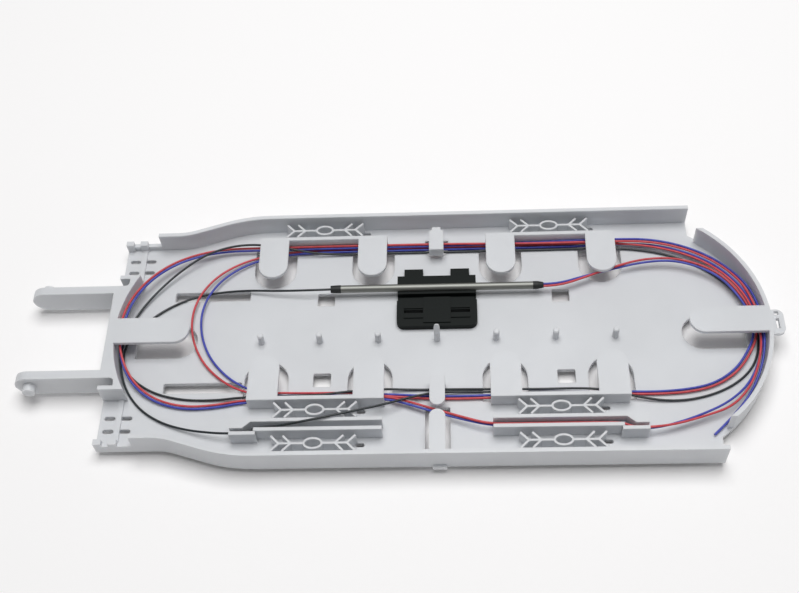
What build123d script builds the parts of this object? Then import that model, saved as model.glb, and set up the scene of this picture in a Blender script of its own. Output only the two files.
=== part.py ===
from build123d import *
from math import atan2, cos, degrees, pi, radians, sin, sqrt, tan
import os

# Fibre splitter tray: a shallow moulded tray with two hinge arms, holding a steel-tubed
# fused coupler in a clip, with its three jacketed fibres wound round the tray.
# Millimetres, +Z up. The origin is on the underside, at the middle of the row of pegs.
# +X runs away from the hinge arms and +Y runs towards the wall behind the coupler.

# Tray: outline and walls
tray_height = 11.4
floor_thickness = 2.0
wall = 1.6
half_width = 54.4
end_centre = 71.3
end_radius = 53.7
front_corner_x = 103.5
back_corner_x = 101.7
arc_front = 41.4
arc_back = 42.9
port_half = 46.6
port_wall_start = 113.5
port_wall_end = 101.5
shoulder_x = 77.0
shoulder_bend = 60.0
port_bend = 25.0

# Hinge block, its arms and their pins
hinge_x = 128.0
hinge_half = 26.0
arm_gap = 35.2
arm_thickness = 3.4
pin_x = 156.4
pin_diameter = 4.9
pin_length = 3.0
pocket_length = 5.7
pocket_bend = 1.6
hook_setback = 1.6

# Inner walls, tabs and the windows under them
inner_top = 9.0
inner_wall = 1.5
back_face_y = 43.3
front_face_y = 28.8
inner_start = 19.9
inner_end = 71.5
tab_thickness = 1.5
tab_width = 11.6
tab_length = 18.0
tab_places = (25.7, 65.6)
window_width = 17.1
window_length = 19.0
end_tab_width = 11.2
end_tab_reach = 95.9
end_window_width = 15.0
end_window_reach = 94.3
end_window_start = 118.5

# Middle clips over the fibres
clip_width = 5.8
clip_post_width = 3.6
clip_lip = 1.2
clip_lip_depth = 4.4
clip_back_y = 48.3
clip_back_tip = 37.2
clip_front_y = 21.0
clip_front_tip = 33.4
clip_window_half = 4.7
clip_window_back = 46.4
clip_window_front = 37.9
rib_width = 6.0
rib_tip = 36.5
rib_window_back = 31.0
rib_window_front = 51.2

# Splice channels
channel_y = 40.6
channel_gap = 2.4
channel_wall = 1.4
channel_start = 20.4
channel_end = 67.8
mouth_y = 42.65
mouth_gap = 1.3
mouth_start = 72.0
mouth_jog = 3.0
mouth_end = 76.8
mouth_front_start = 67.0

# Splice fins: a pair of chevrons each end of an oval ring, one set in each lane
fin_top = 8.0
fin_width = 0.8
fin_places_x = 45.6
fin_half = 15.6
fin_depth = 3.1
fin_pitch = 4.4
fin_reach = 3.1
ring_length = 7.4
ring_width = 4.8
fin_hole_length = 3.4
fin_hole_width = 1.6
fin_hole_shift = 16.8
fin_hole_offset = 1.8

# Pegs, floor holes and the latch lug
peg_count = 7
peg_pitch = 22.9
peg_y = -1.0
peg_diameter = 2.4
peg_top = 7.4
peg_chamfer = 0.4
square_length = 6.8
square_width = 5.9
square_left = 44.2
square_right = 48.9
square_y = 18.4
slot_length = 30.5
slot_width = 4.4
slot_x = 90.2
slot_y = 21.0
hole_round = 0.6
lug_reach = 131.8
lug_half = 5.4
lug_bottom = 6.8
lug_top = 8.6
lug_hole = 1.6
lug_slot = 4.4
lip_width = 5.2
lip_reach = 1.2
lip_height = 1.4
lip_x = 0.7

# Cable ports
port_lip_top = 4.5
port_rib_width = 2.0
port_rib_x = 120.7
port_rib_height = 0.8
post_top = 6.4
post_length = 3.0
post_width = 2.2
tie_length = 4.2
tie_width = 1.7
tie_columns = (117.8, 124.3)
tie_rows = (33.6, 39.1)

# Coupler: steel tube, boots and what is inside
tube_length = 76.0
tube_diameter = 3.0
tube_wall = 0.3
tube_y = 20.7
tube_rise = 2.6
boot_length = 4.1
boot_diameter = 3.2
boot_tip_diameter = 2.3
boot_plug = 4.0
boot_clearance = 0.05
substrate_length = 40.0
substrate_diameter = 1.8
substrate_groove = 0.6
coated_diameter = 0.25
fused_length = 14.0
drop_length = 3.0
drop_diameter = 0.9
drop_place = 16.0
seal_length = 5.0

# Holder for the coupler
holder_half = 15.5
holder_base = 1.4
holder_back_y = 25.5
holder_top = 7.2
holder_lip_y = 18.0
holder_lip_top = 5.7
holder_seat_clearance = 0.05
holder_tab_reach = 31.4
holder_tab_inner = 5.5
holder_tab_outer = 13.0
flap_front_y = 3.6
flap_back_y = 16.8
flap_top = 4.6
flap_round = 3.0
flap_slot_width = 1.4
flap_slot_y = 10.4
flap_ridge = 0.5
flap_ridge_width = 1.2
flap_ridge_back_y = 12.2
flap_ridge_front_y = 7.8
patch_half = 5.3
patch_front_y = 5.0
notch_depth = 1.0
notch_width = 1.2

# Jacketed fibres
fibre_diameter = 0.9

os.makedirs("parts", exist_ok=True)

outer_radius = end_radius + wall
floor_top = floor_thickness
tube_z = floor_top + tube_rise + tube_diameter / 2
inner_back_y = back_face_y + inner_wall
inner_front_y = front_face_y + inner_wall
arm_inner = arm_gap / 2
arm_outer = arm_inner + arm_thickness
wall_line = half_width - wall / 2
port_line = port_half - wall / 2
shoulder_turn = atan2(wall_line - port_line, port_wall_end - shoulder_x)


def bar(x_from, x_to, y_from, y_to):
    """Plan of a rectangle between two corners."""
    with BuildSketch() as plan:
        with Locations(((x_from + x_to) / 2, (y_from + y_to) / 2)):
            Rectangle(abs(x_to - x_from), abs(y_to - y_from))
    return plan.sketch


def tongue(x_middle, y_root, y_tip, width):
    """Plan of a tab with a half-round tip, reaching from y_root to y_tip."""
    way = 1 if y_tip > y_root else -1
    with BuildSketch() as plan:
        add(bar(x_middle - width / 2, x_middle + width / 2, y_root, y_tip - way * width / 2))
        with Locations((x_middle, y_tip - way * width / 2)):
            Circle(width / 2)
    return plan.sketch


def end_tongue(side, x_root, x_tip, width):
    """Plan of a tab with a half-round tip that reaches in from one end of the tray."""
    with BuildSketch() as plan:
        add(bar(side * x_root, side * (x_tip + width / 2), -width / 2, width / 2))
        with Locations((side * (x_tip + width / 2), 0)):
            Circle(width / 2)
    return plan.sketch


def fin_set(x_middle, y_middle):
    """Plan of one splice holder: two chevrons, a bar, a ring, a bar and two chevrons."""
    with BuildSketch() as plan:
        for side in (-1, 1):
            for number in range(2):
                start = side * (fin_half - number * fin_pitch)
                point = start - side * fin_depth
                with BuildLine() as chevron:
                    Polyline((start, fin_reach), (point, 0), (start, -fin_reach))
                trace(chevron.line, line_width=fin_width)
            inner = side * (ring_length - fin_width) / 2
            add(bar(inner, side * (fin_half - fin_depth), -fin_width / 2, fin_width / 2))
        Ellipse(ring_length / 2, ring_width / 2)
        Ellipse(ring_length / 2 - fin_width, ring_width / 2 - fin_width, mode=Mode.SUBTRACT)
    return Pos(x_middle, y_middle) * plan.sketch


def channel_plan(side):
    """Plan of one splice channel, with the narrow mouth at its outer end."""
    back_inner = -channel_y + channel_gap / 2
    front_inner = -channel_y - channel_gap / 2
    mouth_back = -mouth_y + mouth_gap / 2
    mouth_front = -mouth_y - mouth_gap / 2
    with BuildSketch() as plan:
        with BuildLine():
            Polyline(
                (side * channel_start, back_inner),
                (side * (mouth_start - mouth_jog), back_inner),
                (side * mouth_start, mouth_back),
                (side * mouth_end, mouth_back),
                (side * mouth_end, back_inner + channel_wall),
                (side * channel_start, back_inner + channel_wall),
                close=True,
            )
        make_face()
        add(bar(side * channel_start, side * channel_end, front_inner - channel_wall, front_inner))
        add(bar(side * mouth_front_start, side * mouth_end, mouth_front - channel_wall, mouth_front))
    return plan.sketch



def wall_face(start_x, side, out):
    """One face of a long outer wall, at a distance outside the wall's middle line."""
    corner_x = back_corner_x if side > 0 else front_corner_x
    shift = out * tan(shoulder_turn / 2)
    return FilletPolyline(
        (start_x, side * (port_line + out)),
        (-port_wall_end - shift, side * (port_line + out)),
        (-shoulder_x - shift, side * (wall_line + out)),
        (corner_x, side * (wall_line + out)),
        radius=[port_bend - out, shoulder_bend + out],
    )


# Floor of the tray, out to its edge
front_edge = wall_face(-hinge_x, -1, wall / 2)
back_edge = wall_face(-hinge_x, 1, wall / 2)
front_arc_y = -sqrt(outer_radius**2 - (front_corner_x - end_centre) ** 2)
back_arc_y = sqrt(outer_radius**2 - (back_corner_x - end_centre) ** 2)
with BuildSketch() as outline:
    with BuildLine():
        add(front_edge)
        add(back_edge)
        Line(front_edge @ 0, back_edge @ 0)
        Line(front_edge @ 1, (front_corner_x, front_arc_y))
        ThreePointArc(
            (front_corner_x, front_arc_y), (end_centre + outer_radius, 0), (back_corner_x, back_arc_y)
        )
        Line((back_corner_x, back_arc_y), back_edge @ 1)
    make_face()

# Long outer walls, open where the cables enter
wall_faces = [
    (wall_face(-port_wall_start, side, wall / 2), wall_face(-port_wall_start, side, -wall / 2))
    for side in (-1, 1)
]
with BuildSketch() as side_walls:
    for outer_face, inner_face in wall_faces:
        with BuildLine():
            add(outer_face)
            add(inner_face)
            Line(outer_face @ 0, inner_face @ 0)
            Line(outer_face @ 1, inner_face @ 1)
        make_face()

# Windows and holes through the floor
with BuildSketch() as floor_holes:
    for side in (-1, 1):
        for place in tab_places:
            add(tongue(side * place, back_face_y, back_face_y - window_length, window_width))
            add(tongue(side * place, -front_face_y, -front_face_y + window_length, window_width))
        add(end_tongue(side, end_window_start, end_window_reach, end_window_width))
        for row in tie_rows:
            for column in tie_columns:
                with Locations((-column, side * row)):
                    SlotOverall(tie_length, tie_width)
        with Locations((-square_left, side * square_y), (square_right, side * square_y)):
            RectangleRounded(square_length, square_width, hole_round)
        with Locations((-slot_x, side * slot_y)):
            RectangleRounded(slot_length, slot_width, hole_round)
    add(tongue(0, clip_window_back, clip_window_front, 2 * clip_window_half))
    add(bar(-clip_window_half, clip_window_half, -rib_window_back, -rib_window_front))

# Lanes that hold the splice fins, as the Y of their middle
back_lane = (inner_back_y + half_width - wall) / 2
middle_lane = -(inner_front_y + channel_y - channel_gap / 2 - channel_wall) / 2
front_lane = -(channel_y + channel_gap / 2 + channel_wall + half_width - wall) / 2
lanes = (back_lane, middle_lane, front_lane)

# End walls as round bands about the two end centres
with BuildSketch() as end_bands:
    for side in (-1, 1):
        with Locations((side * end_centre, 0)):
            Circle(outer_radius)
            Circle(end_radius, mode=Mode.SUBTRACT)
    keep_right = bar(end_centre, end_centre + 2 * end_radius, -arc_front, arc_back)
    keep_left = bar(-hinge_x, -end_centre, -hinge_half, hinge_half)
    add(keep_right + keep_left, mode=Mode.INTERSECT)

with BuildPart() as tray:
    # Floor, outer walls and end walls
    extrude(outline.sketch, amount=floor_thickness)
    extrude(side_walls.sketch, amount=tray_height)
    extrude(end_bands.sketch, amount=tray_height)
    # Hinge block: a hollow box open below, closed above, outside the left end wall
    with BuildSketch():
        add(bar(-hinge_x, -end_centre - end_radius * 0.8, -hinge_half, hinge_half))
        with Locations((-end_centre, 0)):
            Circle(end_radius, mode=Mode.SUBTRACT)
    extrude(amount=tray_height)
    with BuildSketch():
        add(bar(-hinge_x + wall, -end_centre, -hinge_half + wall, hinge_half - wall))
        with Locations((-end_centre, 0)):
            Circle(outer_radius, mode=Mode.SUBTRACT)
    extrude(amount=tray_height - wall, mode=Mode.SUBTRACT)
    # Pockets beside the arms, open towards the hinge, each behind a hook-shaped wall
    pocket_end = hinge_x - pocket_length
    for side in (-1, 1):
        with BuildSketch() as pocket:
            add(bar(-hinge_x, -pocket_end, side * arm_outer, side * (hinge_half - wall)))
            closed_end = pocket.vertices().group_by(Axis.X)[-1].sort_by(Axis.Y)
            fillet(closed_end[0 if side > 0 else -1], radius=pocket_bend)
        extrude(amount=tray_height, mode=Mode.SUBTRACT)
    extrude(bar(-hinge_x, -hinge_x + hook_setback, arm_outer, hinge_half), amount=tray_height, mode=Mode.SUBTRACT)
    # Arms with round ends and a hinge pin on the outer side of each
    for side in (-1, 1):
        with BuildSketch(Plane.XZ.offset(-side * arm_inner)) as arm_side:
            with Locations(((-pin_x - pocket_end) / 2, tray_height / 2)):
                Rectangle(pin_x - pocket_end, tray_height)
            with Locations((-pin_x, tray_height / 2)):
                Circle(tray_height / 2)
        extrude(amount=-side * arm_thickness)
        with BuildSketch(Plane.XZ.offset(-side * arm_outer)) as pin_end:
            with Locations((-pin_x, tray_height / 2)):
                Circle(pin_diameter / 2)
        extrude(amount=-side * pin_length)
    # Inner walls behind the tabs, then the splice channels
    for side in (-1, 1):
        for face_y, outer_y in ((back_face_y, inner_back_y), (-front_face_y, -inner_front_y)):
            extrude(bar(side * inner_start, side * inner_end, face_y, outer_y), amount=inner_top)
        extrude(channel_plan(side), amount=inner_top)
        for lane in lanes:
            extrude(fin_set(side * fin_places_x, lane), amount=fin_top)
    # Floor windows are cut before the tabs that reach over them
    extrude(floor_holes.sketch, amount=floor_thickness, mode=Mode.SUBTRACT)
    with BuildSketch():
        for side in (-1, 1):
            for lane in lanes:
                with Locations((side * fin_places_x + fin_hole_shift, lane + fin_hole_offset)):
                    SlotOverall(fin_hole_length, fin_hole_width)
    extrude(amount=floor_thickness, mode=Mode.SUBTRACT)
    # Tabs over the fibre bundles
    tab_level = Pos(0, 0, inner_top - tab_thickness)
    for side in (-1, 1):
        for place in tab_places:
            back_tab = tongue(side * place, inner_back_y, back_face_y - tab_length, tab_width)
            front_tab = tongue(side * place, -inner_front_y, -front_face_y + tab_length, tab_width)
            extrude(tab_level * (back_tab + front_tab), amount=tab_thickness)
        end_tab = end_tongue(side, end_centre + end_radius + wall / 2, end_tab_reach, end_tab_width)
        extrude(Pos(0, 0, tray_height - wall) * end_tab, amount=wall)
    # Middle clips, each a post with a tab, and the long rib from the front wall
    extrude(
        bar(-clip_post_width / 2, clip_post_width / 2, clip_back_y - 2 * inner_wall, clip_back_y),
        amount=inner_top,
    )
    extrude(
        bar(-clip_width / 2, clip_width / 2, -clip_front_y, -clip_front_y - inner_wall),
        amount=inner_top,
    )
    back_clip = bar(-clip_width / 2, clip_width / 2, clip_back_y - inner_wall, clip_back_tip)
    back_lip = bar(-clip_width / 2, clip_width / 2, clip_back_tip, clip_back_tip + clip_lip)
    extrude(Pos(0, 0, inner_top - clip_lip_depth) * back_lip, amount=clip_lip_depth)
    front_clip = tongue(0, -clip_front_y, -clip_front_tip, clip_width)
    extrude(tab_level * (back_clip + front_clip), amount=tab_thickness)
    rib = tongue(0, -half_width + wall / 2, -rib_tip, rib_width)
    extrude(Pos(0, 0, tray_height - wall) * rib, amount=wall)
    # Row of pegs, the middle one taller and cut to a slope towards the front
    peg_radius = peg_diameter / 2
    for number in range(peg_count):
        peg_x = (number - (peg_count - 1) / 2) * peg_pitch
        with Locations((peg_x, peg_y, 0)):
            Cylinder(peg_radius, peg_top - peg_chamfer, align=(Align.CENTER, Align.CENTER, Align.MIN))
        with Locations((peg_x, peg_y, peg_top - peg_chamfer)):
            Cone(peg_radius, peg_radius - peg_chamfer, peg_chamfer, align=(Align.CENTER, Align.CENTER, Align.MIN))
    with Locations((0, peg_y, 0)):
        Cylinder(peg_radius, tray_height, align=(Align.CENTER, Align.CENTER, Align.MIN))
    with BuildSketch(Plane.YZ) as slope:
        with BuildLine():
            Polyline(
                (peg_y - peg_radius, peg_top),
                (peg_y + peg_radius - peg_chamfer, tray_height),
                (peg_y - peg_radius, tray_height),
                close=True,
            )
        make_face()
    extrude(amount=peg_radius, both=True, mode=Mode.SUBTRACT)
    # Cable ports: low lip, raised rib, posts
    for side in (-1, 1):
        lip = bar(-hinge_x, -port_wall_start, side * port_half, side * (port_half - wall))
        extrude(lip, amount=port_lip_top)
        rib_foot = sqrt(end_radius**2 - (port_rib_x - end_centre) ** 2)
        port_rib = bar(
            -port_rib_x - port_rib_width / 2,
            -port_rib_x + port_rib_width / 2,
            side * max(rib_foot, hinge_half),
            side * port_half,
        )
        extrude(port_rib, amount=floor_thickness + port_rib_height)
        post_y = side * (port_half - post_width / 2)
        with BuildSketch():
            with Locations((-port_rib_x, post_y), (-hinge_x + post_length / 2, post_y)):
                Rectangle(post_length, post_width)
        extrude(amount=post_top)
    # Latch lug at the right-hand end and the small lip under the front wall
    with BuildSketch(Plane.XY.offset(lug_bottom)) as lug:
        lug_root = end_centre + sqrt(outer_radius**2 - lug_half**2) - wall / 2
        with Locations(((lug_root + lug_reach) / 2, 0)):
            Rectangle(lug_reach - lug_root, 2 * lug_half)
        fillet(lug.vertices().group_by(Axis.X)[-1], radius=lug_half / 2)
        with Locations((end_centre + outer_radius + (lug_reach - end_centre - outer_radius) / 2, 0)):
            with Locations((0, lug_half - lug_hole)):
                Rectangle(lug_hole, lug_hole, mode=Mode.SUBTRACT)
            with Locations((0, -lug_hole / 2)):
                Rectangle(lug_hole * 0.75, lug_slot, mode=Mode.SUBTRACT)
    extrude(amount=lug_top - lug_bottom)
    front_lip = bar(
        lip_x - lip_width / 2,
        lip_x + lip_width / 2,
        -half_width + wall / 2,
        -half_width - lip_reach,
    )
    extrude(front_lip, amount=lip_height)
tray.part.label = "tray"
export_step(tray.part, "parts/tray.step")

# Steel tube of the coupler
tube_plane = Plane(origin=(0, tube_y, tube_z), x_dir=(0, 1, 0), z_dir=(1, 0, 0))
bore = tube_diameter - 2 * tube_wall
with BuildPart() as splitter_tube:
    with BuildSketch(tube_plane):
        Circle(tube_diameter / 2)
        Circle(bore / 2, mode=Mode.SUBTRACT)
    extrude(amount=tube_length / 2, both=True)
splitter_tube.part.label = "splitter_tube"
export_step(splitter_tube.part, "parts/splitter_tube.step")


def make_boot(side):
    """End boot: a plug inside the tube and a nose outside it."""
    face = side * tube_length / 2
    plug_radius = bore / 2 - boot_clearance
    nose_end = face + side * boot_length
    tip = boot_tip_diameter if side > 0 else boot_diameter - 0.3
    with BuildPart() as boot:
        with BuildSketch(Plane.XZ.offset(-tube_y)):
            with BuildLine():
                Polyline(
                    (face - side * boot_plug, tube_z),
                    (face - side * boot_plug, tube_z + plug_radius),
                    (face, tube_z + plug_radius),
                    (face, tube_z + boot_diameter / 2),
                    (face + side * boot_length * 0.45, tube_z + boot_diameter / 2),
                    (nose_end, tube_z + tip / 2),
                    (nose_end, tube_z),
                    close=True,
                )
            make_face()
        revolve(axis=Axis((0, tube_y, tube_z), (1, 0, 0)))
    return boot.part


for side, boot_name in ((-1, "input_boot"), (1, "output_boot")):
    boot_part = make_boot(side)
    boot_part.label = boot_name
    export_step(boot_part, f"parts/{boot_name}.step")

# Quartz substrate: a half-round rod with a groove, lying along the bottom of the bore
substrate_z = tube_z - bore / 2 + substrate_diameter / 2
with BuildPart() as quartz_substrate:
    with BuildSketch(Plane(origin=(0, tube_y, substrate_z), x_dir=(0, 1, 0), z_dir=(1, 0, 0))):
        Circle(substrate_diameter / 2)
        with Locations((0, substrate_diameter / 2)):
            Rectangle(substrate_diameter, substrate_diameter, mode=Mode.SUBTRACT)
        Rectangle(substrate_groove, substrate_groove, mode=Mode.SUBTRACT)
    extrude(amount=substrate_length / 2, both=True)
quartz_substrate.part.label = "quartz_substrate"
export_step(quartz_substrate.part, "parts/quartz_substrate.step")

# Fused fibres: two coated fibres side by side, drawn together along the fused waist
waist = fused_length / 2
fibre_reach = tube_length / 2 - boot_plug
fibre_place = coated_diameter * 0.6
with BuildPart() as fused_fibres:
    for side in (-1, 1):
        with BuildLine() as fibre_line:
            FilletPolyline(
                (-fibre_reach, tube_y + side * fibre_place, substrate_z),
                (-waist, tube_y + side * fibre_place, substrate_z),
                (-waist / 2, tube_y + side * coated_diameter * 0.45, substrate_z),
                (waist / 2, tube_y + side * coated_diameter * 0.45, substrate_z),
                (waist, tube_y + side * fibre_place, substrate_z),
                (fibre_reach, tube_y + side * fibre_place, substrate_z),
                radius=waist,
            )
        with BuildSketch(fibre_line.line ^ 0):
            Circle(coated_diameter / 2)
        sweep(path=fibre_line.line)
fused_fibres.part.label = "fused_fibres"
export_step(fused_fibres.part, "parts/fused_fibres.step")


def make_disc(x_middle, length, diameter, passage):
    """Round plug of glue or silicone with a passage for the fibres."""
    with BuildPart() as plug:
        with BuildSketch(Plane(origin=(x_middle, tube_y, tube_z), x_dir=(0, 1, 0), z_dir=(1, 0, 0))):
            Circle(diameter / 2)
            with Locations((0, substrate_z - tube_z)):
                RectangleRounded(*passage, min(passage) / 3, mode=Mode.SUBTRACT)
        extrude(amount=length / 2, both=True)
    return plug.part


def make_drop(x_middle):
    """Drop of epoxy that bonds the fibres into the groove of the substrate."""
    with BuildPart() as drop:
        with BuildSketch(Plane(origin=(x_middle, tube_y, substrate_z), x_dir=(0, 1, 0), z_dir=(1, 0, 0))):
            Circle(drop_diameter / 2)
            with Locations((0, -drop_diameter / 2)):
                Rectangle(2 * drop_diameter, drop_diameter, mode=Mode.SUBTRACT)
            with Locations((0, -substrate_groove / 4)):
                Rectangle(substrate_groove, substrate_groove / 2)
            with Locations((-fibre_place, 0), (fibre_place, 0)):
                Circle(coated_diameter / 2, mode=Mode.SUBTRACT)
        extrude(amount=drop_length / 2, both=True)
    return drop.part


seal_place = fibre_reach - seal_length / 2
seal_passage = (3 * coated_diameter, 2 * coated_diameter)
inner_pieces = {
    "input_epoxy": make_drop(-drop_place),
    "output_epoxy": make_drop(drop_place),
    "input_seal": make_disc(-seal_place, seal_length, bore, seal_passage),
    "output_seal": make_disc(seal_place, seal_length, bore, seal_passage),
}
for piece_name, piece in inner_pieces.items():
    piece.label = piece_name
    export_step(piece, f"parts/{piece_name}.step")

# Holder: rear rail with a seat for the tube, a front lip and a wide slotted flap
with BuildPart() as splitter_holder:
    base_top = floor_top + holder_base
    with BuildSketch(Plane.XY.offset(floor_top)):
        add(bar(-holder_half, holder_half, flap_back_y - notch_width, holder_back_y))
        for side in (-1, 1):
            add(bar(side * holder_tab_inner, side * holder_tab_outer, holder_back_y, holder_tab_reach))
    extrude(amount=holder_base)
    rail_y = tube_y + tube_diameter / 2
    rail_blocks = ((rail_y - wall, holder_back_y, holder_top), (holder_lip_y, rail_y, holder_lip_top))
    for y_from, y_to, top in rail_blocks:
        with BuildSketch(Plane.XY.offset(floor_top)):
            add(bar(-holder_half, holder_half, y_from, y_to))
        extrude(amount=top - floor_top)
    with BuildSketch(tube_plane):
        Circle(tube_diameter / 2 + holder_seat_clearance)
    extrude(amount=holder_half, both=True, mode=Mode.SUBTRACT)
    with BuildSketch(Plane.XY.offset(floor_top)) as flap:
        add(bar(-holder_half - 0.3, holder_half + 0.3, flap_front_y, flap_back_y))
        fillet(flap.vertices().group_by(Axis.Y)[0], radius=flap_round)
        for side in (-1, 1):
            with Locations((side * (holder_half + 0.3), flap_back_y - notch_width / 2)):
                Rectangle(2 * notch_depth, notch_width, mode=Mode.SUBTRACT)
            with Locations((side * (holder_tab_inner + holder_tab_outer) / 2, flap_slot_y)):
                Rectangle(holder_tab_outer - holder_tab_inner, flap_slot_width, mode=Mode.SUBTRACT)
    extrude(amount=flap_top - floor_top)
    with BuildSketch(Plane.XY.offset(flap_top)):
        add(bar(-patch_half, patch_half, patch_front_y, flap_back_y))
        for side in (-1, 1):
            for ridge_y in (flap_ridge_back_y, flap_ridge_front_y):
                with Locations((side * (holder_tab_inner + holder_tab_outer) / 2, ridge_y)):
                    Rectangle(holder_tab_outer - holder_tab_inner, flap_ridge_width)
    extrude(amount=flap_ridge)
splitter_holder.part.label = "splitter_holder"
export_step(splitter_holder.part, "parts/splitter_holder.step")

# Route of the red and blue pair, chosen by hand round the tray. Each station is the
# middle of the pair, its height, half the spacing of the two fibres, and their roll:
# at 0 the red fibre is on the outside of the turn, at 90 it is above the blue one.
pair_route = (
    (42.11, 20.7, 6.1, 0.5, 180),
    (48.0, 20.7, 6.1, 0.5, 180),
    (58.0, 24.2, 5.9, 0.6, 150),
    (69.0, 28.0, 5.8, 0.62, 90),
    (81.0, 31.4, 5.9, 0.62, 30),
    (93.0, 31.8, 6.3, 0.6, 0),
    (103.0, 28.9, 6.1, 0.6, 0),
    (111.5, 23.6, 5.8, 0.6, 0),
    (117.0, 16.1, 5.2, 0.55, 0),
    (120.9, 7.0, 4.8, 0.55, 0),
    (121.6, -2.8, 4.5, 0.55, 0),
    (117.6, -11.0, 4.0, 0.6, 0),
    (112.2, -18.2, 3.4, 0.6, 0),
    (103.6, -23.8, 3.0, 0.6, 0),
    (93.5, -26.1, 2.9, 0.6, 0),
    (82.0, -26.8, 2.9, 0.5, 0),
    (70.0, -26.5, 2.9, 0.5, 0),
    (54.0, -26.3, 2.9, 0.5, 0),
    (36.0, -26.6, 2.9, 0.5, 0),
    (18.0, -27.3, 2.9, 0.55, 0),
    (0.0, -27.4, 2.9, 0.55, 0),
    (-14.0, -26.3, 2.9, 0.5, 0),
    (-22.0, -25.8, 3.1, 0.6, 35),
    (-28.0, -25.6, 3.15, 0.66, 90),
    (-34.0, -25.3, 3.1, 0.6, 140),
    (-43.0, -25.1, 2.95, 0.5, 175),
    (-53.0, -25.0, 2.95, 0.5, 165),
    (-60.0, -24.9, 3.15, 0.64, 120),
    (-66.0, -24.6, 3.15, 0.7, 60),
    (-73.0, -23.1, 2.95, 0.9, 10),
    (-82.0, -17.9, 2.9, 1.3, 0),
    (-90.4, -8.8, 3.2, 1.7, 0),
    (-95.2, 3.2, 3.8, 1.9, 0),
    (-95.2, 15.6, 4.2, 1.8, 0),
    (-89.8, 26.8, 4.2, 1.5, 0),
    (-80.4, 35.0, 3.6, 1.0, 0),
    (-68.6, 39.8, 3.0, 0.6, 0),
    (-54.0, 41.7, 2.8, 0.55, 0),
    (-36.0, 42.0, 2.75, 0.55, 0),
    (-16.0, 42.05, 2.75, 0.55, 0),
    (4.0, 42.0, 2.75, 0.55, 0),
    (24.0, 42.05, 2.75, 0.55, 0),
    (44.0, 42.0, 2.8, 0.6, 0),
    (60.0, 42.1, 3.2, 0.65, 50),
    (74.0, 41.9, 3.4, 0.65, 115),
    (86.0, 40.6, 3.7, 0.6, 160),
    (97.0, 37.2, 4.1, 0.5, 180),
    (106.4, 31.9, 4.7, 0.5, 180),
    (113.8, 24.6, 5.6, 0.5, 180),
    (119.4, 16.0, 5.8, 0.5, 175),
    (122.5, 5.6, 5.8, 0.5, 160),
    (123.15, -5.0, 6.4, 0.55, 125),
    (120.5, -15.8, 6.1, 0.52, 90),
    (115.7, -25.6, 5.95, 0.6, 35),
    (107.8, -33.4, 5.7, 1.1, 0),
    (97.8, -37.6, 5.6, 0.55, 10),
    (87.0, -41.1, 5.6, 0.52, 50),
    (79.0, -42.65, 5.8, 0.5, 90),
    (71.4, -42.65, 5.8, 0.5, 90),
    (67.4, -40.6, 5.8, 0.5, 90),
    (59.0, -40.6, 5.6, 0.56, 115),
    (43.5, -40.6, 5.5, 0.6, 150),
    (30.0, -40.6, 5.6, 0.6, 120),
    (18.8, -40.3, 5.6, 0.55, 90),
    (9.0, -37.3, 5.3, 0.5, 120),
    (0.0, -34.2, 4.9, 0.5, 145),
    (-9.0, -30.9, 4.6, 0.5, 160),
    (-17.8, -27.8, 4.2, 0.5, 180),
    (-29.0, -27.3, 3.5, 0.5, 180),
    (-44.0, -27.3, 2.9, 0.5, 180),
    (-59.0, -27.4, 2.9, 0.5, 180),
    (-73.5, -27.5, 2.9, 0.5, 180),
    (-84.5, -29.7, 3.0, 0.5, 165),
    (-96.0, -30.3, 3.1, 0.5, 160),
    (-107.0, -27.4, 3.4, 0.5, 155),
    (-115.6, -21.4, 4.4, 0.5, 150),
    (-121.2, -13.0, 6.2, 0.5, 135),
    (-123.7, -3.2, 8.2, 0.56, 88),
    (-123.35, 7.4, 8.6, 0.68, 38),
    (-120.7, 17.6, 8.2, 0.6, 0),
    (-115.3, 27.1, 7.0, 0.55, 0),
    (-107.4, 34.8, 5.9, 0.6, 0),
    (-97.4, 39.8, 5.0, 0.6, 0),
    (-86.4, 42.2, 4.5, 0.5, 20),
    (-74.0, 42.4, 4.5, 0.5, 45),
    (-60.0, 42.3, 4.6, 0.5, 60),
    (-42.0, 42.35, 4.75, 0.5, 60),
    (-22.0, 42.3, 4.75, 0.5, 60),
    (-2.0, 42.3, 4.75, 0.53, 72),
    (18.0, 42.3, 4.75, 0.53, 104),
    (38.0, 42.3, 4.8, 0.5, 150),
    (56.0, 42.25, 5.2, 0.5, 170),
    (72.0, 42.2, 5.5, 0.5, 190),
    (85.6, 41.9, 5.3, 0.5, 195),
    (97.6, 38.8, 5.1, 0.52, 190),
    (107.6, 33.5, 5.2, 0.52, 185),
    (115.6, 26.2, 5.6, 0.5, 180),
    (121.1, 17.0, 6.6, 0.55, 180),
    (123.35, 6.2, 7.0, 0.66, 180),
    (123.6, -4.4, 7.0, 0.5, 180),
    (121.6, -15.2, 6.2, 0.5, 180),
    (116.9, -26.0, 4.7, 0.5, 180),
    (108.7, -36.4, 3.3, 0.5, 180),
    (100.2, -44.2, 3.0, 0.5, 180),
)
# The red fibre is cut back under the end tab, and the blue one ends past the end wall.
red_stations = 99

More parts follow.
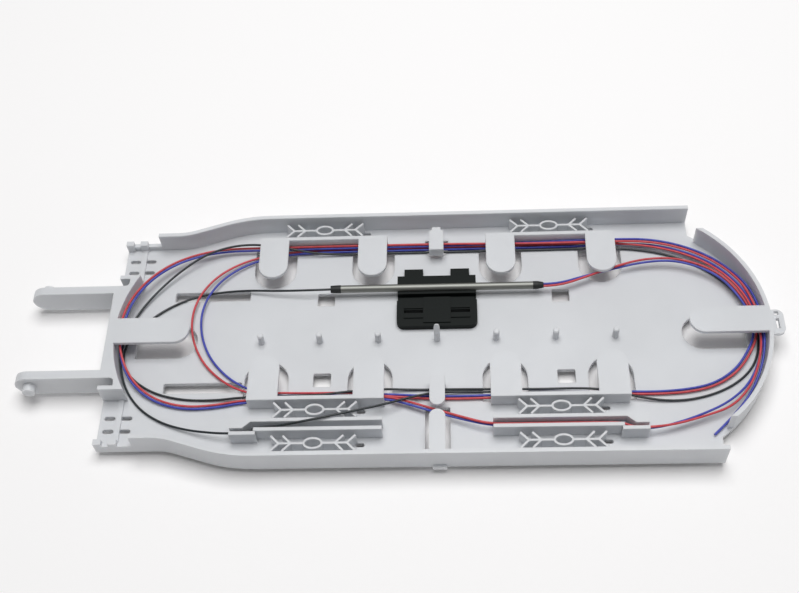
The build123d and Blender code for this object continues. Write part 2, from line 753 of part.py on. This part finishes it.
# Route of the black input fibre, from the coupler round the tray and into the channel
black_route = (
    (-42.1, 20.7, 6.1),
    (-52.0, 20.6, 5.95),
    (-64.0, 21.3, 4.9),
    (-77.0, 22.9, 3.4),
    (-90.0, 22.4, 2.6),
    (-101.0, 19.3, 2.55),
    (-110.4, 13.8, 2.6),
    (-118.0, 5.8, 3.0),
    (-122.6, -2.8, 3.5),
    (-122.2, -11.0, 3.4),
    (-117.4, -17.8, 2.9),
    (-108.6, -23.5, 2.6),
    (-97.6, -26.4, 2.5),
    (-85.6, -26.9, 2.6),
    (-74.0, -26.2, 3.6),
    (-61.0, -26.3, 4.2),
    (-46.0, -26.3, 4.25),
    (-34.0, -25.2, 4.95),
    (-22.0, -23.7, 4.0),
    (-8.0, -23.7, 2.6),
    (6.0, -23.6, 2.55),
    (22.0, -23.9, 2.6),
    (38.0, -24.3, 2.8),
    (51.0, -24.7, 3.8),
    (60.0, -25.6, 4.7),
    (68.5, -27.4, 4.4),
    (77.0, -29.2, 3.4),
    (86.0, -30.2, 2.65),
    (95.0, -29.6, 2.5),
    (104.6, -26.9, 2.5),
    (112.9, -22.3, 2.5),
    (119.2, -15.8, 2.5),
    (122.5, -7.0, 2.55),
    (122.4, 3.2, 2.6),
    (119.4, 13.3, 2.6),
    (113.8, 22.2, 2.6),
    (106.0, 29.4, 2.6),
    (96.4, 35.0, 2.6),
    (85.4, 38.6, 2.6),
    (73.0, 40.2, 2.6),
    (57.0, 40.4, 2.55),
    (38.0, 40.3, 2.55),
    (18.0, 40.35, 2.55),
    (-2.0, 40.3, 2.55),
    (-22.0, 40.35, 2.55),
    (-38.0, 40.0, 2.7),
    (-50.0, 40.0, 4.2),
    (-59.0, 41.0, 6.1),
    (-68.0, 42.5, 6.8),
    (-77.0, 43.2, 7.0),
    (-86.0, 42.0, 6.8),
    (-95.0, 38.6, 6.2),
    (-104.0, 32.0, 5.0),
    (-111.6, 24.2, 4.0),
    (-118.1, 15.4, 3.2),
    (-122.2, 6.2, 2.7),
    (-124.3, -3.6, 2.5),
    (-123.0, -13.4, 2.5),
    (-119.4, -22.6, 2.5),
    (-113.0, -30.6, 2.5),
    (-104.0, -36.4, 2.7),
    (-94.0, -39.8, 3.6),
    (-85.0, -41.8, 5.2),
    (-78.6, -42.65, 6.0),
    (-71.4, -42.65, 6.2),
    (-67.4, -40.6, 6.3),
    (-60.0, -40.6, 7.2),
    (-53.0, -40.4, 9.2),
    (-45.0, -39.2, 10.1),
    (-36.0, -37.0, 9.6),
    (-27.5, -34.4, 8.2),
    (-19.4, -31.8, 6.9),
    (-11.0, -28.6, 5.6),
    (-2.0, -25.9, 4.3),
    (8.0, -24.9, 3.0),
    (20.0, -25.0, 2.55),
    (29.0, -25.2, 2.5),
)


def pair_points(side):
    """Points of one fibre of the pair: side is 1 for the red fibre and -1 for the blue one."""
    points = []
    last = len(pair_route) - 1
    for number, (x, y, z, half_space, roll) in enumerate(pair_route):
        before = pair_route[max(number - 1, 0)]
        after = pair_route[min(number + 1, last)]
        run_x = after[0] - before[0]
        run_y = after[1] - before[1]
        run = sqrt(run_x**2 + run_y**2)
        across = side * half_space * cos(radians(roll)) / run
        rise = side * half_space * sin(radians(roll))
        points.append((x - run_y * across, y + run_x * across, z + rise))
    return points


def make_fibre(name, points):
    """Tube along straight runs and tangent arcs, each arc as large as its runs allow."""
    vectors = [Vector(*point) for point in points]
    runs = [after - before for before, after in zip(vectors, vectors[1:])]
    radii = []
    for before, after in zip(runs, runs[1:]):
        half_turn = radians(before.get_angle(after)) / 2
        radii.append(0.45 * min(before.length, after.length) / tan(half_turn))
    with BuildPart() as fibre:
        with BuildLine() as path:
            FilletPolyline(*points, radius=radii)
        with BuildSketch(path.line ^ 0):
            Circle(fibre_diameter / 2)
        sweep(path=path.line)
    fibre.part.label = name
    export_step(fibre.part, f"parts/{name}.step")
    length = sum(edge.length for edge in path.line.edges())
    expected = length * pi * fibre_diameter**2 / 4
    print(f"{name}: length {length:.1f} mm, tightest arc {min(radii):.1f} mm")
    print(f"{name}: volume {fibre.part.volume:.2f} of {expected:.2f} mm3")


make_fibre("red_output_fibre", pair_points(1)[:red_stations])
make_fibre("blue_output_fibre", pair_points(-1))
make_fibre("black_input_fibre", black_route)
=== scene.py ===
from math import cos, hypot, pi, radians, sin

import bpy
from mathutils import Matrix, Vector


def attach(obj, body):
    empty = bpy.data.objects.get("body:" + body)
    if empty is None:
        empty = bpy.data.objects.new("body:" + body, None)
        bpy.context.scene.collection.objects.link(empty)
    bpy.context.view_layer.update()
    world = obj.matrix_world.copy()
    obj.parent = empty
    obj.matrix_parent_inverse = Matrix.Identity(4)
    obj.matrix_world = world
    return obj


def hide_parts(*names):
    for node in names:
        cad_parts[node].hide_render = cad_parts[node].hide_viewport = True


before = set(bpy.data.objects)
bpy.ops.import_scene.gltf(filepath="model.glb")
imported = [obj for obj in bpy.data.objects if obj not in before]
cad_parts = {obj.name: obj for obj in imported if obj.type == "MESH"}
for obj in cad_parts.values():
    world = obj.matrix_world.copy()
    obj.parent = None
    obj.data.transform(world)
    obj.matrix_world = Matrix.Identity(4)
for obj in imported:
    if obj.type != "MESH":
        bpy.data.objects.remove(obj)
bpy.ops.object.select_all(action="DESELECT")
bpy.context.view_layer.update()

# Lengths are in metres, and the fibres' routes in millimetres
MM = 0.001

# Photograph: its width in pixels, and the camera worked out from the tray's edges in it
PHOTO_WIDTH = 799
SENSOR_WIDTH = 36.0
FOCAL_PIXELS = 1177.7
CAMERA_PLACE = Vector((10.05, -241.46, 392.33)) * MM
CAMERA_PITCH = radians(56.127)
CAMERA_YAW = radians(-5.475)
CAMERA_ROLL = radians(-5.758)
NEAREST_SEEN = 0.01
FARTHEST_SEEN = 20

# Jacketed fibres: their size, the length of each, and how finely they are drawn
JACKET_DIAMETER = 0.9 * MM
CURVE_STEPS = 8
ROUND_STEPS = 3

# Route of the red and blue pair in millimetres: each station is the middle of the pair,
# its height, half the spacing of the two fibres, and their roll in degrees.
pair_route = (
    (42.11, 20.7, 6.1, 0.5, 180),
    (48.0, 20.7, 6.1, 0.5, 180),
    (58.0, 24.2, 5.9, 0.6, 150),
    (69.0, 28.0, 5.8, 0.62, 90),
    (81.0, 31.4, 5.9, 0.62, 30),
    (93.0, 31.8, 6.3, 0.6, 0),
    (103.0, 28.9, 6.1, 0.6, 0),
    (111.5, 23.6, 5.8, 0.6, 0),
    (117.0, 16.1, 5.2, 0.55, 0),
    (120.9, 7.0, 4.8, 0.55, 0),
    (121.6, -2.8, 4.5, 0.55, 0),
    (117.6, -11.0, 4.0, 0.6, 0),
    (112.2, -18.2, 3.4, 0.6, 0),
    (103.6, -23.8, 3.0, 0.6, 0),
    (93.5, -26.1, 2.9, 0.6, 0),
    (82.0, -26.8, 2.9, 0.5, 0),
    (70.0, -26.5, 2.9, 0.5, 0),
    (54.0, -26.3, 2.9, 0.5, 0),
    (36.0, -26.6, 2.9, 0.5, 0),
    (18.0, -27.3, 2.9, 0.55, 0),
    (0.0, -27.4, 2.9, 0.55, 0),
    (-14.0, -26.3, 2.9, 0.5, 0),
    (-22.0, -25.8, 3.1, 0.6, 35),
    (-28.0, -25.6, 3.15, 0.66, 90),
    (-34.0, -25.3, 3.1, 0.6, 140),
    (-43.0, -25.1, 2.95, 0.5, 175),
    (-53.0, -25.0, 2.95, 0.5, 165),
    (-60.0, -24.9, 3.15, 0.64, 120),
    (-66.0, -24.6, 3.15, 0.7, 60),
    (-73.0, -23.1, 2.95, 0.9, 10),
    (-82.0, -17.9, 2.9, 1.3, 0),
    (-90.4, -8.8, 3.2, 1.7, 0),
    (-95.2, 3.2, 3.8, 1.9, 0),
    (-95.2, 15.6, 4.2, 1.8, 0),
    (-89.8, 26.8, 4.2, 1.5, 0),
    (-80.4, 35.0, 3.6, 1.0, 0),
    (-68.6, 39.8, 3.0, 0.6, 0),
    (-54.0, 41.7, 2.8, 0.55, 0),
    (-36.0, 42.0, 2.75, 0.55, 0),
    (-16.0, 42.05, 2.75, 0.55, 0),
    (4.0, 42.0, 2.75, 0.55, 0),
    (24.0, 42.05, 2.75, 0.55, 0),
    (44.0, 42.0, 2.8, 0.6, 0),
    (60.0, 42.1, 3.2, 0.65, 50),
    (74.0, 41.9, 3.4, 0.65, 115),
    (86.0, 40.6, 3.7, 0.6, 160),
    (97.0, 37.2, 4.1, 0.5, 180),
    (106.4, 31.9, 4.7, 0.5, 180),
    (113.8, 24.6, 5.6, 0.5, 180),
    (119.4, 16.0, 5.8, 0.5, 175),
    (122.5, 5.6, 5.8, 0.5, 160),
    (123.15, -5.0, 6.4, 0.55, 125),
    (120.5, -15.8, 6.1, 0.52, 90),
    (115.7, -25.6, 5.95, 0.6, 35),
    (107.8, -33.4, 5.7, 1.1, 0),
    (97.8, -37.6, 5.6, 0.55, 10),
    (87.0, -41.1, 5.6, 0.52, 50),
    (79.0, -42.65, 5.8, 0.5, 90),
    (71.4, -42.65, 5.8, 0.5, 90),
    (67.4, -40.6, 5.8, 0.5, 90),
    (59.0, -40.6, 5.6, 0.56, 115),
    (43.5, -40.6, 5.5, 0.6, 150),
    (30.0, -40.6, 5.6, 0.6, 120),
    (18.8, -40.3, 5.6, 0.55, 90),
    (9.0, -37.3, 5.3, 0.5, 120),
    (0.0, -34.2, 4.9, 0.5, 145),
    (-9.0, -30.9, 4.6, 0.5, 160),
    (-17.8, -27.8, 4.2, 0.5, 180),
    (-29.0, -27.3, 3.5, 0.5, 180),
    (-44.0, -27.3, 2.9, 0.5, 180),
    (-59.0, -27.4, 2.9, 0.5, 180),
    (-73.5, -27.5, 2.9, 0.5, 180),
    (-84.5, -29.7, 3.0, 0.5, 165),
    (-96.0, -30.3, 3.1, 0.5, 160),
    (-107.0, -27.4, 3.4, 0.5, 155),
    (-115.6, -21.4, 4.4, 0.5, 150),
    (-121.2, -13.0, 6.2, 0.5, 135),
    (-123.7, -3.2, 8.2, 0.56, 88),
    (-123.35, 7.4, 8.6, 0.68, 38),
    (-120.7, 17.6, 8.2, 0.6, 0),
    (-115.3, 27.1, 7.0, 0.55, 0),
    (-107.4, 34.8, 5.9, 0.6, 0),
    (-97.4, 39.8, 5.0, 0.6, 0),
    (-86.4, 42.2, 4.5, 0.5, 20),
    (-74.0, 42.4, 4.5, 0.5, 45),
    (-60.0, 42.3, 4.6, 0.5, 60),
    (-42.0, 42.35, 4.75, 0.5, 60),
    (-22.0, 42.3, 4.75, 0.5, 60),
    (-2.0, 42.3, 4.75, 0.53, 72),
    (18.0, 42.3, 4.75, 0.53, 104),
    (38.0, 42.3, 4.8, 0.5, 150),
    (56.0, 42.25, 5.2, 0.5, 170),
    (72.0, 42.2, 5.5, 0.5, 190),
    (85.6, 41.9, 5.3, 0.5, 195),
    (97.6, 38.8, 5.1, 0.52, 190),
    (107.6, 33.5, 5.2, 0.52, 185),
    (115.6, 26.2, 5.6, 0.5, 180),
    (121.1, 17.0, 6.6, 0.55, 180),
    (123.35, 6.2, 7.0, 0.66, 180),
    (123.6, -4.4, 7.0, 0.5, 180),
    (121.6, -15.2, 6.2, 0.5, 180),
    (116.9, -26.0, 4.7, 0.5, 180),
    (108.7, -36.4, 3.3, 0.5, 180),
    (100.2, -44.2, 3.0, 0.5, 180),
)
# The red fibre is cut back under the end tab, and the blue one ends past the end wall.
red_stations = 99

# Route of the black input fibre in millimetres, from the coupler into the splice channel
black_route = (
    (-42.1, 20.7, 6.1),
    (-52.0, 20.6, 5.95),
    (-64.0, 21.3, 4.9),
    (-77.0, 22.9, 3.4),
    (-90.0, 22.4, 2.6),
    (-101.0, 19.3, 2.55),
    (-110.4, 13.8, 2.6),
    (-118.0, 5.8, 3.0),
    (-122.6, -2.8, 3.5),
    (-122.2, -11.0, 3.4),
    (-117.4, -17.8, 2.9),
    (-108.6, -23.5, 2.6),
    (-97.6, -26.4, 2.5),
    (-85.6, -26.9, 2.6),
    (-74.0, -26.2, 3.6),
    (-61.0, -26.3, 4.2),
    (-46.0, -26.3, 4.25),
    (-34.0, -25.2, 4.95),
    (-22.0, -23.7, 4.0),
    (-8.0, -23.7, 2.6),
    (6.0, -23.6, 2.55),
    (22.0, -23.9, 2.6),
    (38.0, -24.3, 2.8),
    (51.0, -24.7, 3.8),
    (60.0, -25.6, 4.7),
    (68.5, -27.4, 4.4),
    (77.0, -29.2, 3.4),
    (86.0, -30.2, 2.65),
    (95.0, -29.6, 2.5),
    (104.6, -26.9, 2.5),
    (112.9, -22.3, 2.5),
    (119.2, -15.8, 2.5),
    (122.5, -7.0, 2.55),
    (122.4, 3.2, 2.6),
    (119.4, 13.3, 2.6),
    (113.8, 22.2, 2.6),
    (106.0, 29.4, 2.6),
    (96.4, 35.0, 2.6),
    (85.4, 38.6, 2.6),
    (73.0, 40.2, 2.6),
    (57.0, 40.4, 2.55),
    (38.0, 40.3, 2.55),
    (18.0, 40.35, 2.55),
    (-2.0, 40.3, 2.55),
    (-22.0, 40.35, 2.55),
    (-38.0, 40.0, 2.7),
    (-50.0, 40.0, 4.2),
    (-59.0, 41.0, 6.1),
    (-68.0, 42.5, 6.8),
    (-77.0, 43.2, 7.0),
    (-86.0, 42.0, 6.8),
    (-95.0, 38.6, 6.2),
    (-104.0, 32.0, 5.0),
    (-111.6, 24.2, 4.0),
    (-118.1, 15.4, 3.2),
    (-122.2, 6.2, 2.7),
    (-124.3, -3.6, 2.5),
    (-123.0, -13.4, 2.5),
    (-119.4, -22.6, 2.5),
    (-113.0, -30.6, 2.5),
    (-104.0, -36.4, 2.7),
    (-94.0, -39.8, 3.6),
    (-85.0, -41.8, 5.2),
    (-78.6, -42.65, 6.0),
    (-71.4, -42.65, 6.2),
    (-67.4, -40.6, 6.3),
    (-60.0, -40.6, 7.2),
    (-53.0, -40.4, 9.2),
    (-45.0, -39.2, 10.1),
    (-36.0, -37.0, 9.6),
    (-27.5, -34.4, 8.2),
    (-19.4, -31.8, 6.9),
    (-11.0, -28.6, 5.6),
    (-2.0, -25.9, 4.3),
    (8.0, -24.9, 3.0),
    (20.0, -25.0, 2.55),
    (29.0, -25.2, 2.5),
)


# Colours as they look in the photograph, and the real sizes of the surface patterns
ABS_GREY = "D6D8DB"
ABS_GREY_DARK = "D0D2D5"
NYLON_BLACK = "080E0C"
NYLON_BLACK_LIGHT = "101615"
STAINLESS = "9B9C97"
STAINLESS_DARK = "82837F"
TABLE_WHITE = "FFFEFE"
FLOW_MARK = 30 * MM
# The mould's grain is near 0.05 mm; it is drawn coarser so that it shows
ABS_GRAIN = 0.4 * MM
NYLON_GRAIN = 0.8 * MM
DRAW_LINE = 0.15 * MM
DRAW_LINE_LENGTH = 12 * MM
JACKET_GRAIN = 2.5 * MM
JACKET_BUMP = 0.02 * MM
# Where a colour ramp reaches its low and its high tone
TONE_ENDS = (0.3, 0.7)


def linear_colour(hex_colour):
    """Linear colour of an sRGB hex value such as D3D5D8."""
    linear = []
    for start in (0, 2, 4):
        value = int(hex_colour[start:start + 2], 16) / 255
        linear.append(value / 12.92 if value <= 0.04045 else ((value + 0.055) / 1.055) ** 2.4)
    return (*linear, 1.0)


def new_material(name, **surface):
    """Material with a Principled surface; surface gives its plain settings by name."""
    material = bpy.data.materials.new(name)
    material.use_nodes = True
    shader = material.node_tree.nodes["Principled BSDF"]
    for setting, value in surface.items():
        shader.inputs[setting.replace("_", " ")].default_value = value
    material.diffuse_color = shader.inputs["Base Color"].default_value
    return material, shader


def add_node(material, kind, settings=(), links=()):
    """Adds one shader node: settings are (name, value), links are (input name, from socket)."""
    node = material.node_tree.nodes.new(kind)
    for name, value in settings:
        node.inputs[name].default_value = value
    for name, socket in links:
        material.node_tree.links.new(socket, node.inputs[name])
    return node


def object_place(material):
    """Socket that gives the place on the object, in metres."""
    return add_node(material, "ShaderNodeTexCoord").outputs["Object"]


def noise(material, place, size, detail):
    """Factor socket of a noise whose marks have this size in metres."""
    texture = add_node(
        material, "ShaderNodeTexNoise", [("Scale", 1 / size), ("Detail", detail)], [("Vector", place)]
    )
    return texture.outputs["Fac"]


def two_tones(material, shader, factor, low, high):
    """Colours a surface between two hex tones by a factor socket."""
    ramp = add_node(material, "ShaderNodeValToRGB", links=[("Fac", factor)])
    for stop, position, tone in zip(ramp.color_ramp.elements, TONE_ENDS, (low, high)):
        stop.position = position
        stop.color = linear_colour(tone)
    material.node_tree.links.new(ramp.outputs["Color"], shader.inputs["Base Color"])


def uneven_gloss(material, shader, factor, low, high):
    """Moves the roughness between two values by a factor socket."""
    spread = add_node(
        material, "ShaderNodeMapRange", [("To Min", low), ("To Max", high)], [("Value", factor)]
    )
    material.node_tree.links.new(spread.outputs["Result"], shader.inputs["Roughness"])


def low_bump(material, shader, factor, strength, height):
    """Raises the surface a little by a factor socket; the height is in metres."""
    bump = add_node(
        material, "ShaderNodeBump", [("Strength", strength), ("Distance", height)], [("Height", factor)]
    )
    material.node_tree.links.new(bump.outputs["Normal"], shader.inputs["Normal"])


def moulded_abs():
    """Moulded ABS, satin light grey: faint flow marks and a fine spark-eroded grain.

    Light goes a little way into the plastic, so its shaded sides and thin tabs look soft.
    """
    material, shader = new_material(
        "moulded_abs_grey",
        Base_Color=linear_colour(ABS_GREY),
        Roughness=0.42,
        IOR=1.53,
        Subsurface_Weight=0.8,
        Subsurface_Radius=(1.0, 1.0, 1.0),
        Subsurface_Scale=2.0 * MM,
    )
    place = object_place(material)
    flow = noise(material, place, FLOW_MARK, 3.0)
    two_tones(material, shader, flow, ABS_GREY_DARK, ABS_GREY)
    grain = noise(material, place, ABS_GRAIN, 2.0)
    low_bump(material, shader, grain, 0.12, 0.02 * MM)
    return material


def glass_filled_nylon():
    """Moulded nylon with glass fibre, black: dull, with a slightly uneven gloss."""
    material, shader = new_material(
        "moulded_nylon_black",
        Base_Color=linear_colour(NYLON_BLACK),
        Roughness=0.55,
        Specular_IOR_Level=0.17,
    )
    gloss = noise(material, object_place(material), NYLON_GRAIN, 4.0)
    uneven_gloss(material, shader, gloss, 0.5, 0.65)
    two_tones(material, shader, gloss, NYLON_BLACK, NYLON_BLACK_LIGHT)
    low_bump(material, shader, gloss, 0.2, 0.02 * MM)
    return material


def drawn_stainless():
    """Stainless tube, drawn and lightly polished: fine lines along its length."""
    material, shader = new_material(
        "drawn_stainless_steel", Base_Color=linear_colour(STAINLESS), Metallic=1.0, Roughness=0.5
    )
    stretch = add_node(
        material,
        "ShaderNodeMapping",
        [("Scale", (DRAW_LINE / DRAW_LINE_LENGTH, 1.0, 1.0))],
        [("Vector", object_place(material))],
    )
    lines = noise(material, stretch.outputs["Vector"], DRAW_LINE, 3.0)
    two_tones(material, shader, lines, STAINLESS_DARK, STAINLESS)
    uneven_gloss(material, shader, lines, 0.45, 0.6)
    low_bump(material, shader, lines, 0.15, 0.01 * MM)
    return material


def grained_surface(name, low, high, roughness, grain, bump_height, **surface):
    """Plain material with a soft two-tone grain and a low bump of the same grain."""
    material, shader = new_material(name, Base_Color=linear_colour(high), Roughness=roughness, **surface)
    speckle = noise(material, object_place(material), grain, 3.0)
    two_tones(material, shader, speckle, low, high)
    low_bump(material, shader, speckle, 0.2, bump_height)
    return material


def jacket(name, low, high, roughness):
    """Extruded PVC jacket: smooth and satin, a little uneven along its length."""
    return grained_surface(name, low, high, roughness, grain=JACKET_GRAIN, bump_height=JACKET_BUMP)


abs_grey = moulded_abs()
nylon_black = glass_filled_nylon()
stainless = drawn_stainless()
# Moulded rubber: dull, and nearly black
boot_rubber = grained_surface(
    "moulded_rubber_black", "161818", "222424", roughness=0.6, grain=0.5 * MM, bump_height=0.02 * MM
)
# Cast silicone: milky, with a soft gloss
silicone = grained_surface(
    "milky_silicone", "C8C8C4", "D8D8D4", roughness=0.5, grain=0.6 * MM, bump_height=0.01 * MM
)
# Cured epoxy: amber and glossy
epoxy = grained_surface(
    "cured_epoxy", "B89A5A", "C8AC6C", roughness=0.25, grain=0.5 * MM, bump_height=0.01 * MM
)
# Fused quartz, ground and polished: clear, with a hard gloss
quartz = grained_surface(
    "fused_quartz",
    "E4E8E8",
    "F0F2F2",
    roughness=0.08,
    grain=1.0 * MM,
    bump_height=0.005 * MM,
    Transmission_Weight=0.9,
    IOR=1.46,
)
# Drawn glass fibre in its thin coating: pale and smooth
coated_glass = grained_surface(
    "coated_glass_fibre", "D8D4C0", "E8E4D4", roughness=0.2, grain=0.5 * MM, bump_height=0.005 * MM
)
black_jacket = jacket("pvc_jacket_black", "1B2024", "2A3034", roughness=0.34)
red_jacket = jacket("pvc_jacket_red", "BE3840", "D24A52", roughness=0.36)
blue_jacket = jacket("pvc_jacket_blue", "343CA0", "444EB8", roughness=0.36)

finishes = {
    "tray": abs_grey,
    "splitter_holder": nylon_black,
    "splitter_tube": stainless,
    "input_boot": boot_rubber,
    "output_boot": boot_rubber,
    "quartz_substrate": quartz,
    "fused_fibres": coated_glass,
    "input_epoxy": epoxy,
    "output_epoxy": epoxy,
    "input_seal": silicone,
    "output_seal": silicone,
}
for node_name, finish in finishes.items():
    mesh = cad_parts[node_name].data
    mesh.materials.clear()
    mesh.materials.append(finish)


def pair_points(side):
    """Points of one fibre of the pair: side is 1 for the red fibre and -1 for the blue one."""
    points = []
    last = len(pair_route) - 1
    for number, (x, y, z, half_space, roll) in enumerate(pair_route):
        before = pair_route[max(number - 1, 0)]
        after = pair_route[min(number + 1, last)]
        run_x = after[0] - before[0]
        run_y = after[1] - before[1]
        across = side * half_space * cos(radians(roll)) / hypot(run_x, run_y)
        rise = side * half_space * sin(radians(roll))
        points.append((x - run_y * across, y + run_x * across, z + rise))
    return points


def lay_fibre(name, cad_node, points, finish):
    """One jacketed fibre on its route, given in millimetres, standing for its CAD tube."""
    curve = bpy.data.curves.new(name, "CURVE")
    curve.dimensions = "3D"
    line = curve.splines.new("NURBS")
    line.points.add(len(points) - 1)
    for control, point in zip(line.points, points):
        control.co = (*(Vector(point) * MM), 1.0)
    line.order_u = 3
    line.use_endpoint_u = True
    line.use_smooth = True
    curve.resolution_u = CURVE_STEPS
    curve.bevel_depth = JACKET_DIAMETER / 2
    curve.bevel_resolution = ROUND_STEPS
    curve.use_fill_caps = True
    curve.materials.append(finish)
    fibre = bpy.data.objects.new(name, curve)
    bpy.context.scene.collection.objects.link(fibre)
    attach(fibre, "root")
    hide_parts(cad_node)


lay_fibre(
    "red_output", "red_output_fibre", pair_points(1)[:red_stations], red_jacket
)
lay_fibre("blue_output", "blue_output_fibre", pair_points(-1), blue_jacket)
lay_fibre("black_input", "black_input_fibre", black_route, black_jacket)

# Table: white, a little under the tray, whose holes look dark in the photograph
TABLE_SIZE = 4.0
TABLE_MIDDLE_Y = 0.5
TABLE_GAP = 2.8 * MM
bpy.ops.mesh.primitive_plane_add(size=TABLE_SIZE, location=(0, TABLE_MIDDLE_Y, -TABLE_GAP))
table = bpy.context.object
table.name = "table"
table_finish, _ = new_material("table_white", Base_Color=linear_colour(TABLE_WHITE), Roughness=0.9)
table.data.materials.append(table_finish)
bpy.ops.object.select_all(action="DESELECT")

# Studio light: a white room, and one broad soft lamp overhead and a little behind
ROOM_STRENGTH = 0.24
LAMP_PLACE = (0.05, 0.2, 1.2)
LAMP_SIZE = 0.8
LAMP_WATTS = 12.2
world = bpy.data.worlds.new("studio")
bpy.context.scene.world = world
world.use_nodes = True
room = world.node_tree.nodes["Background"]
room.inputs["Color"].default_value = (1, 1, 1, 1)
room.inputs["Strength"].default_value = ROOM_STRENGTH
lamp_data = bpy.data.lights.new("overhead_lamp", "AREA")
lamp_data.size = LAMP_SIZE
lamp_data.energy = LAMP_WATTS
lamp = bpy.data.objects.new("overhead_lamp", lamp_data)
bpy.context.scene.collection.objects.link(lamp)
facing = Vector(LAMP_PLACE).to_track_quat("Z", "Y").to_matrix().to_4x4()
lamp.matrix_world = Matrix.Translation(LAMP_PLACE) @ facing

# Camera: the one worked out from the photograph
camera_data = bpy.data.cameras.new("camera")
camera_data.sensor_width = SENSOR_WIDTH
camera_data.lens = FOCAL_PIXELS * SENSOR_WIDTH / PHOTO_WIDTH
camera_data.clip_start = NEAREST_SEEN
camera_data.clip_end = FARTHEST_SEEN
camera = bpy.data.objects.new("camera", camera_data)
bpy.context.scene.collection.objects.link(camera)
aim = Matrix.Rotation(-CAMERA_YAW, 4, "Z") @ Matrix.Rotation(pi / 2 - CAMERA_PITCH, 4, "X")
camera.matrix_world = Matrix.Translation(CAMERA_PLACE) @ aim @ Matrix.Rotation(CAMERA_ROLL, 4, "Z")
bpy.context.scene.camera = camera
bpy.context.scene.view_settings.view_transform = "Standard"

bpy.context.view_layer.update()
